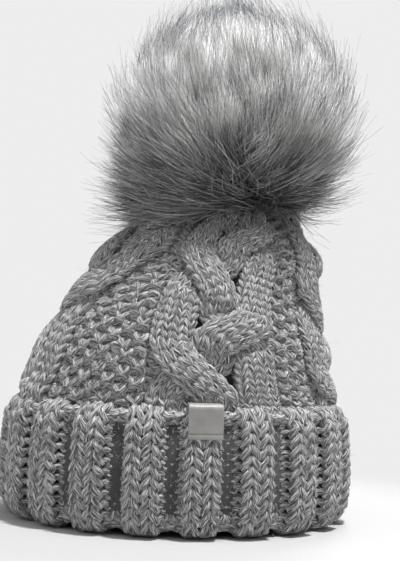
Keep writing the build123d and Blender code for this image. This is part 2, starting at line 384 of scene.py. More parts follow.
def felted_paint(name, low, high, scale=900.0, roughness=0.95, strength=0.6):
    """Fleece, felt or fibre fill: a cloudy surface of short matted fibres."""
    paint = Paint(name, roughness, Sheen_Weight=0.4, Sheen_Roughness=0.6, Specular_IOR_Level=0.2)
    spot = paint.place()
    fibres = paint.noise(spot, scale, 4.0, 0.65)
    clouds = paint.noise(spot, scale * 0.12, 2.0, 0.5)
    both = paint.weighted(fibres, 0.6, clouds)
    paint.colour(paint.ramp(both, [(0.32, low), (0.68, high)]))
    paint.bump(both, strength, 0.0008)
    return paint.material


def thread_paint(name, low, high):
    """Twisted sewing thread."""
    paint = Paint(name, 0.6, Sheen_Weight=0.2)
    spot = paint.place()
    turns = paint.node("ShaderNodeTexWave", Scale=900.0, Distortion=1.5)
    turns.bands_direction = "DIAGONAL"
    paint.link(spot, turns.inputs["Vector"])
    paint.colour(paint.ramp(turns.outputs["Fac"], [(0.2, low), (0.8, high)]))
    paint.bump(turns.outputs["Fac"], 0.5, 0.0002)
    return paint.material


def metal_paint(name, low, high, roughness, scale):
    """Plated snap metal with faint wear."""
    paint = Paint(name, roughness, Metallic=1.0)
    spot = paint.place()
    marks = paint.noise(spot, scale, 5.0, 0.7)
    paint.colour(paint.ramp(marks, [(0.35, low), (0.65, high)]))
    rough = paint.node("ShaderNodeMapRange")
    paint.link(marks, rough.inputs["Value"])
    rough.inputs["To Min"].default_value = roughness * 0.8
    rough.inputs["To Max"].default_value = roughness * 1.4
    paint.link(rough.outputs[0], paint.shader.inputs["Roughness"])
    paint.bump(marks, 0.08, 0.0002)
    return paint.material


def satin_paint(name, low, high, grain, roughness, strength, warp=1.0):
    """Satin-faced material with a fine even grain."""
    paint = Paint(name, roughness, Sheen_Weight=0.15, Specular_IOR_Level=0.5)
    spot = paint.place()
    stretched = paint.node("ShaderNodeMapping")
    stretched.inputs["Scale"].default_value = (1.0, 1.0, warp)
    paint.link(spot, stretched.inputs["Vector"])
    fine = paint.noise(stretched.outputs[0], grain, 3.0, 0.6)
    broad = paint.noise(spot, grain * 0.05, 2.0, 0.5)
    both = paint.weighted(fine, 0.4, broad)
    paint.colour(paint.ramp(both, [(0.35, low), (0.65, high)]))
    paint.bump(fine, strength, 0.0002)
    return paint.material


YARN = yarn_paint("heather_yarn", grey(0.055), grey(0.24), grey(0.70))
FIBRE = yarn_paint("loose_fibre", grey(0.30), grey(0.50), grey(0.80))
# painted shade: the ground sheet behind the yarn is near black, much darker than the yarn, so the gaps
# between stitches look shaded
PAINTED_SHADE_GROUND = felted_paint("knit_ground_painted_shade", grey(0.03), grey(0.10), 900.0)
FLEECE = felted_paint("fleece", grey(0.16), grey(0.30), 1100.0)
FELT = felted_paint("felt", grey(0.015), grey(0.05), 1500.0)
BACKING = felted_paint("fur_backing", grey(0.03), grey(0.07), 1300.0)
FILL = felted_paint("fibre_fill", grey(0.62), grey(0.80), 500.0)
THREAD = thread_paint("sewing_thread", grey(0.14), grey(0.40))
CORD = thread_paint("draw_cord", grey(0.02), grey(0.08))
SNAP = metal_paint("snap_metal", (0.50, 0.48, 0.44), (0.66, 0.63, 0.58), 0.28, 900.0)
WIRE = metal_paint("spring_wire", grey(0.55), grey(0.72), 0.16, 1500.0)
LABEL = satin_paint("label_leather", grey(0.25, 0.04), grey(0.33, 0.04), 2600.0, 0.38, 0.35)
CARE = satin_paint("care_satin", grey(0.70), grey(0.86), 3500.0, 0.45, 0.4, 0.2)
# tint_low goes to hairs that end low round the ball and tint_high to those that end high: partly painted
# shade and light, partly each tuft's own random tone
UNDERFUR = fur_paint(
    "underfur",
    [(0.0, grey(0.010)), (0.28, grey(0.05, 0.04)), (0.48, grey(0.26, 0.04)), (0.68, grey(0.82, 0.02)),
     (1.0, grey(1.0))],
    grey(0.05, 0.02), grey(1.0), 0.75)
GUARD = fur_paint(
    "guard_hair",
    [(0.0, grey(0.015)), (0.34, grey(0.16, 0.03)), (0.58, grey(0.80, 0.02)), (0.80, grey(0.75)),
     (0.90, (0.06, 0.064, 0.085)), (1.0, (0.012, 0.014, 0.024))],
    grey(0.30), grey(1.0), 0.5)


# ---------------------------------------------------------------- the stitch

STITCH_POINTS = 14            # centre-line points along one stitch
LOOP_SWING = 0.29             # how far a loop's neck swings sideways, in stitch widths
LOOP_REACH = 0.80             # how far a loop reaches above and below its row, in rows
YARN_RADIUS = 1.88            # mm
FULL_STITCH = 5.6             # mm: stitches narrower than this have thinner yarn
TURN_SHARE = 0.16             # share of a stitch in which the yarn changes between knit and purl


def knit_run(columns, kinds):
    """One row's centre line over len(kinds) stitches, starting at column position columns[0].

    Returns column positions, row offsets and depths in units of stitch widths, rows and loop depth.
    kinds is +1 for a knit stitch and -1 for a purl stitch.
    """
    count = len(kinds)
    t = np.arange(count * STITCH_POINTS + 1) / STITCH_POINTS
    phase = 2 * np.pi * t
    column = np.interp(t, np.arange(count + 1), columns)
    width = np.interp(t, np.arange(count) + 0.5, np.diff(columns))
    column = column + width * LOOP_SWING * np.sin(2 * phase)
    row = -LOOP_REACH * np.cos(phase)
    index = np.clip(t.astype(int), 0, count - 1)
    local = t - index
    kind = np.asarray(kinds, float)
    before = np.concatenate([kind[:1], kind[:-1]])[index]
    after = np.concatenate([kind[1:], kind[-1:]])[index]
    here = kind[index]
    turn_in = smooth(local / TURN_SHARE) * 0.5 + 0.5
    turn_out = smooth((1 - local) / TURN_SHARE) * 0.5 + 0.5
    sign = here * turn_in + before * (1 - turn_in)
    sign = sign * turn_out + after * (1 - turn_out)
    depth = -sign * np.cos(2 * phase)
    return column, row, depth


def thinning(stitch_width):
    """How much thinner the yarn and its loops are where a stitch has only this width, in mm."""
    return min(1.0, stitch_width / FULL_STITCH) ** 0.85


# ---------------------------------------------------------------- the crown's surface

CROWN_LOW, CROWN_HIGH = box_mm("knit_crown")
CROWN_LEVELS = np.linspace(CROWN_LOW[2] + 0.4, CROWN_HIGH[2] - 0.4, 70)
CROWN_OVALS = measure_ovals("knit_crown", CROWN_LEVELS)
ROW_LEAN = 0.24               # how much higher the rows stand on the far side of the lean, as a slope
ROW_HEIGHT = 4.36             # mm
# edges of the crown's panels in degrees from the front, towards +X, at these shares of the crown's height:
# four cable panels, each between two panels of moss stitch that narrow upwards
EDGE_LEVELS = (0.0, 0.30, 0.60, 1.0)
PANEL_EDGES = np.array([
    (-11.0, -17.0, -19.5, -22.0), (44.0, 40.0, 39.5, 43.0),
    (64.0, 55.0, 50.5, 53.0), (121.0, 121.0, 123.0, 129.0),
    (156.0, 151.0, 148.0, 146.0), (213.0, 214.0, 216.0, 222.0),
    (247.0, 243.0, 255.0, 252.0), (311.0, 310.0, 339.5, 337.0),
    (349.0, 343.0, 340.5, 338.0),
])
CABLES = 4


def crown_oval(z):
    return [np.interp(z, CROWN_LEVELS, CROWN_OVALS[:, i]) for i in range(3)]


def front_length():
    """Distance along the front of the crown from its foot, for each measured level."""
    step = np.hypot(np.diff(CROWN_LEVELS), np.diff(CROWN_OVALS[:, 2]))
    return np.concatenate([[0.0], np.cumsum(step)])


CROWN_RUN = front_length()
CROWN_ROWS = int(round(CROWN_RUN[-1] / ROW_HEIGHT))
GRID_ROWS, GRID_TURN = 141, 361
SHOULDER_SINK = 2.2           # mm that the knit lies deeper from the shoulder up
PUCKER_DEPTH = 5.5            # mm


def panel_edges(s):
    """The nine panel edges at height share s, as (9, ...) degrees."""
    return np.stack([np.interp(s, EDGE_LEVELS, edge) for edge in PANEL_EDGES])


def pucker(angle, s):
    """How far the gathered folds near the top stand out, in mm."""
    strength = PUCKER_DEPTH * smooth((s - 0.72) / 0.2)
    edges = panel_edges(s)
    wrapped = (angle - edges[0]) % 360 + edges[0]
    out = np.full(np.broadcast(angle, s).shape, -0.75)
    for c in range(CABLES):
        a, b = edges[2 * c], edges[2 * c + 1]
        share = (wrapped - a) / (b - a)
        inside = (share > 0) & (share < 1)
        fold = np.abs(np.sin(2 * np.pi * np.clip(share, 0, 1))) ** 0.7
        out = np.where(inside, fold - 0.62, out)
    return strength * out


def grid_normals(points):
    """Outward normals of a grid whose last column repeats its first."""
    du = np.roll(points[:, :-1], -1, axis=1) - np.roll(points[:, :-1], 1, axis=1)
    du = np.concatenate([du, du[:, :1]], axis=1)
    return unit(np.cross(du, np.gradient(points, axis=0)))


def build_crown_grid():
    s = np.linspace(0, 1, GRID_ROWS)[:, None]
    angle = np.linspace(-180, 180, GRID_TURN)[None, :]
    turn = np.radians(angle)
    level = np.interp(s * CROWN_RUN[-1], CROWN_RUN, CROWN_LEVELS)
    lean = ROW_LEAN * 4 * s * (1 - s)
    _, side_there, _ = crown_oval(level)
    z = np.clip(level - lean * side_there * np.sin(turn), CROWN_LEVELS[0], CROWN_LEVELS[-1])
    centre, side, front = crown_oval(z)
    points = np.stack([centre + side * np.sin(turn), -front * np.cos(turn), z], axis=-1)
    points = points + grid_normals(points) * pucker(angle, s)[..., None]
    return points, grid_normals(points)


CROWN_POINTS, CROWN_NORMALS = build_crown_grid()


def crown_at(angle, s, out):
    """Points and normals on the crown, out mm off its surface, for angles in degrees and height shares."""
    s = np.asarray(s)
    column = (np.asarray(angle, float) + 180) % 360 / 360 * (GRID_TURN - 1)
    row = np.clip(s, 0, 1) * (GRID_ROWS - 1)
    i = np.clip(row.astype(int), 0, GRID_ROWS - 2)
    k = np.clip(column.astype(int), 0, GRID_TURN - 2)
    f, g = (row - i)[..., None], (column - k)[..., None]

    def blend(grid):
        return ((grid[i, k] * (1 - g) + grid[i, k + 1] * g) * (1 - f)
                + (grid[i + 1, k] * (1 - g) + grid[i + 1, k + 1] * g) * f)

    normal = unit(blend(CROWN_NORMALS))
    point = blend(CROWN_POINTS)
    out = out - SHOULDER_SINK * smooth((s - 0.35) / 0.25)
    over = (s - 1.0) * CROWN_RUN[-1]
    under = s * CROWN_RUN[-1]
    point = point + normal * np.asarray(out)[..., None]
    point[..., 2] += np.where(over > 0, over * 0.4, 0) + np.where(under < 0, under, 0)
    return point, normal


def crown_width(angle_step, s):
    """Size in mm of an angle step at height share s, along the front."""
    z = np.interp(np.clip(s, 0, 1) * CROWN_RUN[-1], CROWN_RUN, CROWN_LEVELS)
    _, side, front = crown_oval(z)
    return np.radians(angle_step) * (side + front) / 2


# ---------------------------------------------------------------- cable panels

CABLE_STITCHES = 4            # stitches across one strand of the braid
PANEL_HALF = 6.8              # half a panel in stitches, with its purl gutter
STEP_ROWS = 6.7               # rows between one crossing and the next
STEP_WAIT = 0.9               # rows by which every second crossing comes later
FIRST_STEP = 1.6              # row where the first crossing starts
PLACE = {"L": -4.0, "M": 0.0, "R": 4.0}
STRAND_WAY = "LMRRML"         # a strand's place at each step's start; its end is the next step's start
STRAND_OFFSETS = (0, 4, 2)
OVER_LIFT, UNDER_DROP = 3.2, 2.6
CABLE_BASE = -5.0             # mm from the surface to the yarn's centre, at a strand's edge
CABLE_CROWN = 3.4             # how far the middle of a strand stands above its edges
LOOP_DEPTH = 1.7              # mm
GUTTER_BASE = -6.0            # mm
PANELS_STITCHES = 49          # stitches round the crown, by which the gutters' yarn is thinned
CROSS_START, CROSS_SPAN = 0.05, 0.9   # the share of a step in which a strand crosses


def strand_path(row, offset):
    """Sideways place in stitches, its slope per row, and the lift in mm, for a strand at each row."""
    number = np.arange(-2, 12)
    starts = FIRST_STEP + STEP_ROWS * number + STEP_WAIT * (number % 2)
    index = np.searchsorted(starts, row, side="right") - 3
    begin, finish = starts[index + 2], starts[index + 3]
    share = (row - begin) / (finish - begin)
    way = [PLACE[c] for c in STRAND_WAY]
    start = np.take(way, (index + offset) % 6)
    end = np.take(way, (index + offset + 1) % 6)
    crossed = np.clip((share - CROSS_START) / CROSS_SPAN, 0, 1)
    place = start + (end - start) * smooth(crossed)
    slope = (end - start) * 6 * crossed * (1 - crossed) / CROSS_SPAN / STEP_ROWS
    moving = np.abs(end - start) > 0
    leaving = moving & (np.abs(start) < 0.5)
    swell = np.sin(np.pi * share) ** 0.8
    lift = np.where(leaving, OVER_LIFT * swell, np.where(moving, -UNDER_DROP * swell, 0.0))
    return place, slope, lift


def tucked(depth_line, reach, drop):
    """Turns both ends of a run's depth inwards, so that cut ends lie behind the fabric."""
    count = len(depth_line)
    k = np.arange(count)
    near = np.minimum(k, count - 1 - k)
    return depth_line - drop * (1 - smooth(near / reach))


def cable_rows(panel, bundle, rows):
    for row in rows:
        s_mid = (row + 0.5) / CROWN_ROWS
        edges = panel_edges(np.array(s_mid))
        half_angle = (edges[2 * panel + 1] - edges[2 * panel]) / 2
        stitch_width = crown_width(half_angle, s_mid) / PANEL_HALF
        thin = thinning(stitch_width)
        for offset in STRAND_OFFSETS:
            start = -CABLE_STITCHES / 2
            across, lift_row, depth = knit_run(np.arange(CABLE_STITCHES + 1) + start, [1] * CABLE_STITCHES)
            row_line = row + 0.5 + lift_row + wobble(len(across), 0.03, 5)
            place, slope, lift = strand_path(row_line, offset)
            lean = np.arctan(slope * stitch_width / ROW_HEIGHT)
            narrow = np.cos(lean) ** 0.25
            x = place + across * np.cos(lean) * narrow
            y = row_line - across * np.sin(lean) * narrow * stitch_width / ROW_HEIGHT * 0.85
            edges_line = panel_edges(y / CROWN_ROWS)
            mid = (edges_line[2 * panel] + edges_line[2 * panel + 1]) / 2
            half = (edges_line[2 * panel + 1] - edges_line[2 * panel]) / 2
            angle = mid + half * x / PANEL_HALF
            rounding = np.sqrt(np.clip(1 - (across / 2.25) ** 2, 0, 1)) * CABLE_CROWN
            out = CABLE_BASE + rounding + lift + depth * LOOP_DEPTH * thin
            out = tucked(out, 4, 1.8)
            bundle.strand(*crown_at(angle, y / CROWN_ROWS, out), YARN_RADIUS * thin)


def gutter_rows(panel, bundle, rows):
    """The purl columns beside the braid, which run on behind its outer strands."""
    for row in rows:
        s = row / CROWN_ROWS
        thin = thinning(crown_width(np.ptp(panel_edges(np.array(s))) / PANELS_STITCHES, s))
        for side in (-1, 1):
            ends = sorted((side * 3.0, side * (PANEL_HALF + 0.15)))
            across, lift_row, depth = knit_run(np.linspace(*ends, 4), [-1, -1, -1])
            y = row + 0.5 + lift_row
            edges = panel_edges(y / CROWN_ROWS)
            first, last = edges[2 * panel], edges[2 * panel + 1]
            angle = (first + last) / 2 + (last - first) / 2 * across / PANEL_HALF
            out = tucked(GUTTER_BASE + depth * 1.1 * thin, 3, 1.0)
            bundle.strand(*crown_at(angle, y / CROWN_ROWS, out), YARN_RADIUS * 0.9 * thin)


MOSS_STITCH = 7.6             # mm, the width that a moss stitch keeps
MOSS_BASE = -5.0
MOSS_DEPTH = 2.1


def moss_rows(panel, bundle, rows):
    first, second = 2 * panel + 1, 2 * panel + 2
    for row in rows:
        s_mid = (row + 0.5) / CROWN_ROWS
        edges = panel_edges(np.array(s_mid))
        width = crown_width(edges[second] - edges[first], s_mid)
        if width < MOSS_STITCH / 2:
            continue
        count = max(1, int(round(width / MOSS_STITCH)))
        thin = thinning(width / count)
        kinds = [1 if (k + row) % 2 else -1 for k in range(count)]
        across, lift_row, depth = knit_run(np.linspace(-0.04, 1.04, count + 1), kinds)
        y = row + 0.5 + lift_row * 0.95 + wobble(len(across), 0.05, 7)
        edges_line = panel_edges(y / CROWN_ROWS)
        angle = edges_line[first] + (edges_line[second] - edges_line[first]) * across
        out = tucked(MOSS_BASE + depth * MOSS_DEPTH * thin, 4, 1.2)
        bundle.strand(*crown_at(angle, y / CROWN_ROWS, out), YARN_RADIUS * 1.02 * thin)


def yarn_bundle(sides=12):
    return TubeBundle(sides, lobes=3, lobe_depth=0.11, twist=0.17)


CROWN_KINDS = (
    ("cable_panel", cable_rows, 12),
    ("cable_gutter", gutter_rows, 8),
    ("moss_panel", moss_rows, 12),
)


def make_crown():
    pieces = []
    for panel in range(CABLES):
        for name, rows, sides in CROWN_KINDS:
            bundle = yarn_bundle(sides)
            rows(panel, bundle, range(CROWN_ROWS))
            pieces.append(bundle.make(f"{name}_{panel + 1}", YARN))
    return pieces


# ---------------------------------------------------------------- the cuff

CUFF_LOW, CUFF_HIGH = box_mm("turned_up_cuff")
BAND_LOW, BAND_HIGH = box_mm("rib_band")
CUFF_LEVELS = np.linspace(3.5, CUFF_HIGH[2] - 2.5, 24)
CUFF_OVALS = measure_ovals("turned_up_cuff", CUFF_LEVELS)
OVAL_DIFFERENCE = float(np.mean(CUFF_OVALS[:, 1] - CUFF_OVALS[:, 2]))
RIBS = 20
RIB_STITCHES = 4              # two knit, two purl
KNIT_SHARE = 0.60             # share of a rib repeat that its two knit columns take
RIB_RELIEF = 4.6              # mm, how far knit ribs stand out from the middle and purl gutters lie behind
CUFF_INSET = 5.3              # mm from the CAD's outside to the yarn's middle
TOP_ROLL = 2.6
TOP_ROLL_LEVEL = CUFF_HIGH[2] - 6.6
FOOT_ROLL = 3.2
FOOT_ROLL_LEVEL = FOOT_ROLL + 4.5
CUFF_ROW = 5.8                # mm
RIB_PARTS = 4                 # the cuff's yarn is made in this many pieces
RIB_TAIL = 5                  # points that a cuff piece's yarn runs on into the next piece
RIB_LOOP_DEPTH = 1.45         # mm
INNER_FOOT = FOOT_ROLL_LEVEL + 5.0    # where the rib band starts behind the cuff
EDGE_FLAT = 4.0               # mm of a section's start without relief, hidden against the lining
EDGE_RISE = 8.0               # mm over which the relief then grows
RIB_EDGE = 0.16               # share of a rib repeat in which the relief changes from gutter to rib


def cuff_path():
    """The cuff's section from its cast-on edge: side radius and height, in mm, as a dense line."""
    def side(z):
        return float(np.interp(z, CUFF_LEVELS, CUFF_OVALS[:, 1])) - CUFF_INSET

    def roll(edge, level, radius, first, last):
        turn = np.radians(np.linspace(first, last, 19))
        return [(edge - radius + radius * math.cos(a), level + radius * math.sin(a)) for a in turn]

    top, foot = side(TOP_ROLL_LEVEL), side(FOOT_ROLL_LEVEL)
    points = [(top - 2 * TOP_ROLL, TOP_ROLL_LEVEL - 6.0)]
    points += roll(top, TOP_ROLL_LEVEL, TOP_ROLL, 180, 0)
    points += [(side(z), z) for z in np.linspace(TOP_ROLL_LEVEL - 1.5, FOOT_ROLL_LEVEL + 1.5, 30)]
    points += roll(foot, FOOT_ROLL_LEVEL, FOOT_ROLL, 0, -180)
    points.append((foot - 2 * FOOT_ROLL, INNER_FOOT))
    return np.array(points)


def turn_share(height):
    """How much of the rib's relief is left at this height, where the fabric bends over the cuff's edges."""
    return 0.4 + 0.6 * smooth((height - 3.0) / 9.0) * smooth((TOP_ROLL_LEVEL + 1.0 - height) / 6.0)


def band_path():
    """The rib band's section, continuing upwards inside."""
    side = BAND_HIGH[0] - 3.0
    middle = (INNER_FOOT + BAND_HIGH[2]) / 2
    return np.array([(side, z) for z in (INNER_FOOT, middle, BAND_HIGH[2] - 1.0)])


class OvalWrap:
    """Maps (degrees, distance along a section, out) to points round the cuff."""

    def __init__(self, section):
        step = np.hypot(*np.diff(section, axis=0).T)
        self.run = np.concatenate([[0], np.cumsum(step)])
        self.section = section
        way = np.gradient(section, self.run, axis=0)
        self.out = unit(np.stack([-way[:, 1], way[:, 0]], axis=-1))

    @property
    def length(self):
        return self.run[-1]

    def at(self, angle, along, out):
        along = np.clip(along, 0, self.length)
        lines = (*self.section.T, *self.out.T)
        side, height, off_side, off_up = (np.interp(along, self.run, line) for line in lines)
        turn = np.radians(angle)
        across = side + off_side * out
        x, y = across * np.sin(turn), -(across - OVAL_DIFFERENCE) * np.cos(turn)
        point = np.stack([x, y, height + off_up * out], axis=-1)
        normal = unit(np.stack([off_side * np.sin(turn), -off_side * np.cos(turn), off_up], axis=-1))
        return point, normal


def rib_columns(count_ribs):
    """Column edges in rib repeats, starting in the middle of a purl gutter."""
    gutter = 1 - KNIT_SHARE
    one = gutter / 2 + np.array([-gutter / 2, 0, KNIT_SHARE / 2, KNIT_SHARE])
    edges = (np.arange(count_ribs)[:, None] + one[None]).ravel()
    return np.concatenate([edges, [count_ribs]])


RIB_KINDS = [-1, 1, 1, -1]


def rib_rows(wrap, bundle, ribs, first_rib, relief_mm, radius):
    """All rows of a stretch of rib, from the cuff's cast-on edge to the section's end."""
    rows = int(round(wrap.length / CUFF_ROW))
    columns = rib_columns(ribs)
    spare = columns[1]
    columns = np.concatenate([[-spare], columns, [ribs + spare]])
    kept = slice(STITCH_POINTS - RIB_TAIL, RIB_TAIL - STITCH_POINTS)
    across, lift_row, depth = (line[kept] for line in knit_run(columns, [-1] + RIB_KINDS * ribs + [-1]))
    share = across % 1.0
    gutter = (1 - KNIT_SHARE) / 2
    edge = np.minimum(share - gutter, 1 - gutter - share)
    raised = smooth(edge / RIB_EDGE + 0.5) * 1.9 - 0.9
    for row in range(rows):
        along = (row + 0.5 + lift_row + wobble(len(across), 0.05, 7)) / rows * wrap.length
        height = np.interp(along, wrap.run, wrap.section[:, 1])
        relief = raised * relief_mm * turn_share(height) * smooth((along - EDGE_FLAT) / EDGE_RISE)
        out = relief + depth * RIB_LOOP_DEPTH
        out[:3] = np.minimum(out[:3], np.linspace(out[3] - 2.0, out[3], 3))
        out[-3:] = np.minimum(out[-3:], np.linspace(out[-4], out[-4] - 2.0, 3))
        bundle.strand(*wrap.at((first_rib + across) * 360.0 / RIBS, along, out), radius)


def make_cuff():
    wrap = OvalWrap(cuff_path())
    pieces = []
    part_ribs = RIBS // RIB_PARTS
    for part in range(RIB_PARTS):
        bundle = yarn_bundle()
        rib_rows(wrap, bundle, part_ribs, part * part_ribs - RIBS // 2, RIB_RELIEF, YARN_RADIUS * 1.04)
        pieces.append(bundle.make(f"cuff_rib_{part + 1}", YARN))
    return pieces


def make_band():
    wrap = OvalWrap(band_path())
    bundle = yarn_bundle(8)
    rib_rows(wrap, bundle, RIBS, -RIBS // 2, 0.8, YARN_RADIUS * 0.85)
    return bundle.make("rib_band_knit", YARN)


FUZZ = 7600                   # loose fibres
FUZZ_RADIUS = 0.075           # mm


def make_fuzz():
    """Loose fibres standing off the yarn of the crown and the cuff."""
    on_crown = FUZZ * 3 // 5
    angle, s = rng.random(on_crown) * 360, rng.random(on_crown)
    point, normal = crown_at(angle, s, rng.normal(-1.0, 1.2, on_crown))
    wrap = OvalWrap(cuff_path())
    more = FUZZ - on_crown
    angle = rng.random(more) * 360
    along = 12 + rng.random(more) * (wrap.length - 24)
    cuff_point, cuff_normal = wrap.at(angle, along, 1.5 + rng.random(more) * 3)
    root = np.concatenate([point, cuff_point])[:, None]
    away = np.concatenate([normal, cuff_normal])
    heading = unit(away * 0.6 + rng.normal(0, 0.6, away.shape))[:, None]
    curl = rng.normal(0, 1, away.shape)[:, None]
    t = np.linspace(0, 1, 5)[None, :, None]
    length = (2.0 + 4.5 * rng.random(FUZZ) ** 2)[:, None, None]
    line = root + heading * length * t + curl * length * 0.35 * t ** 2
    line[..., 2] = np.maximum(line[..., 2], 0.2)
    bundle = TubeBundle(3)
    thick = FUZZ_RADIUS * (1 - 0.6 * t[..., 0]) + np.zeros((FUZZ, 1))
    bundle.add(line, np.broadcast_to(unit(curl + 0.01), line.shape), thick)
    return bundle.make("yarn_fuzz", FIBRE)


# ---------------------------------------------------------------- grounds, linings and trims

def oval_surface(wrap, along, out, turns=240):
    angle = np.linspace(-180, 180, turns, endpoint=False)[None, :]
    point, _ = wrap.at(angle, np.asarray(along)[:, None] + 0 * angle, np.full((len(along), turns), out))
    return point


CROWN_GROUND_OUT, CROWN_GROUND_WALL = -7.2, 0.8       # mm: out from the surface, and thickness
CUFF_GROUND_OUT, CUFF_GROUND_WALL = -1.4, 0.5


def make_grounds():
    """The closed fabric behind the yarn, so that light doesn't pass between stitches. Its material is
    painted near black as the shade in the gaps between stitches.
    """
    s = np.linspace(0.0, 0.99, 60)
    angle = np.linspace(-180, 180, 240, endpoint=False)
    grid_angle, grid_s = np.meshgrid(angle, s)
    surface, _ = crown_at(grid_angle, grid_s, np.full(grid_s.shape, CROWN_GROUND_OUT))
    crown = thick_sheet("crown_ground", surface, CROWN_GROUND_WALL, PAINTED_SHADE_GROUND, True)
    wrap = OvalWrap(np.concatenate([cuff_path(), band_path()[1:]]))
    along = np.linspace(4.0, wrap.length - 1.0, 110)
    surface = oval_surface(wrap, along, CUFF_GROUND_OUT)
    cuff = thick_sheet("cuff_ground", surface, CUFF_GROUND_WALL, PAINTED_SHADE_GROUND, True)
    return crown, cuff, wrap.length


FLEECE_WALL = 3.0             # mm
FLEECE_FLUFF = 0.55           # mm
FLEECE_CORNER = 1.5           # mm over which its edges are rounded
FLEECE_SEAM = 3.0             # mm from each edge to a seam


def make_fleece():
    """The fleece ear band: a furry inside, and an outside pressed in along its two seams."""
    low, high = box_mm("fleece_ear_band")
    rows = 46
    turn = full_turn(420)
    fuzz = rng.random((2, rows, len(turn))) * FLEECE_FLUFF
    z = np.linspace(low[2], high[2], rows)[:, None] + 0 * turn
    edge = np.minimum(z - low[2], high[2] - z)
    round_in = 1.2 * (1 - np.sqrt(np.clip(1 - (1 - np.clip(edge / FLEECE_CORNER, 0, 1)) ** 2, 0, 1)))
    quilt = np.exp(-((edge - FLEECE_SEAM) / 0.8) ** 2) * 0.8
    skins = [np.stack([(high[0] - pull) * np.cos(turn), (high[1] - pull) * np.sin(turn), z], axis=-1)
             for pull in (round_in + fuzz[0] * 0.5, FLEECE_WALL - round_in - fuzz[1] - quilt)]
    return join_skins("fleece_band_lining", *skins, FLEECE, True)


def disc_sheet(name, node, hole, wave, material):
    """A soft disc with a hole, as a closed form with a rounded, slightly wavy rim."""
    low, high = box_mm(node)
    centre, radius, thick = (low + high) / 2, (high[0] - low[0]) / 2, high[2] - low[2]
    turns = 96
    turn = full_turn(turns)
    spot = np.linspace(0, np.pi, 14)
    middle, half = (radius + hole) / 2, (radius - hole) / 2
    skins = []
    for way in (1, -1):
        across = middle - np.cos(spot) * half
        lift = np.sin(spot) ** 0.35 * thick / 2 * way
        ripple = wave * np.sin(5 * turn + way)[None] * (across[:, None] / radius) ** 2
        skins.append(np.stack([
            centre[0] + across[:, None] * np.cos(turn), centre[1] + across[:, None] * np.sin(turn),
            centre[2] + lift[:, None] + ripple * 0.5], axis=-1))
    loop = np.concatenate([skins[0], skins[1][::-1][1:-1]])
    rows = len(loop)
    i, k = np.meshgrid(np.arange(rows), np.arange(turns), indexing="ij")
    i2, k2 = (i + 1) % rows, (k + 1) % turns
    here, there = i * turns, i2 * turns
    faces = np.stack([here + k, there + k, there + k2, here + k2], axis=-1).reshape(-1, 4)
    return new_object(name, loop.reshape(-1, 3), faces, None, material)


def yarn_ring(name, node, radius, material, sides=10):
    """A twisted yarn or cord laid in a closed loop at a node's place."""
    low, high = box_mm(node)
    centre, loop = (low + high) / 2, (high[0] - low[0]) / 2 - radius
    turn = np.linspace(0, 2 * np.pi, 90)
    rise = 0.3 * radius * np.sin(7 * turn)
    line = centre + np.stack([loop * np.cos(turn), loop * np.sin(turn), rise], axis=-1)
    bundle = TubeBundle(sides, lobes=3, lobe_depth=0.14, twist=0.35)
    bundle.strand(line, (0.0, 0.0, 1.0), radius * 0.9)
    return bundle.make(name, material)


SEAM_LACINGS = 24
SEAM_YARN = 1.15              # mm


def make_seam():
    """The back seam's yarn, lacing the two edges of the knitting together up the inside."""
    low, high = box_mm("crown_back_seam")
    tree = surface_tree("crown_back_seam")
    t = np.linspace(0, 1, 700)
    z = low[2] + 2 + (high[2] - low[2] - 4) * t
    x = low[0] + 3 + (high[0] - low[0] - 6) * t
    y = np.array([ray_hit(tree, (a, 0, b), (0, 1, 0)) or np.nan for a, b in zip(x, z)])
    good = ~np.isnan(y)
    y = np.interp(z, z[good], y[good]) + 1.4
    bundle = TubeBundle(8, lobes=3, lobe_depth=0.12, twist=0.2)
    turn = 2 * np.pi * SEAM_LACINGS * t
    for way in (1, -1):
        line = np.stack([x + way * 1.7 * np.sin(turn), y + 0.7 * way * np.cos(turn), z], axis=-1)
        bundle.strand(line, (0.0, -1.0, 0.0), SEAM_YARN)
    return bundle.make("back_seam_yarn", YARN)


LABEL_THICK = 0.8             # mm
LABEL_LEVEL, LABEL_BEHIND = 60.0, 8.3     # mm: where the cuff's radius is read, and the inner leaf behind it
LABEL_STITCHES = 11
LABEL_INNER_LEAF = 9.0        # mm that the label's inner leaf hangs behind the cuff
LABEL_BEND = 2.2              # mm, the radius of its folds
LABEL_SEAM = 2.6              # mm from the label's front edge to its stitches


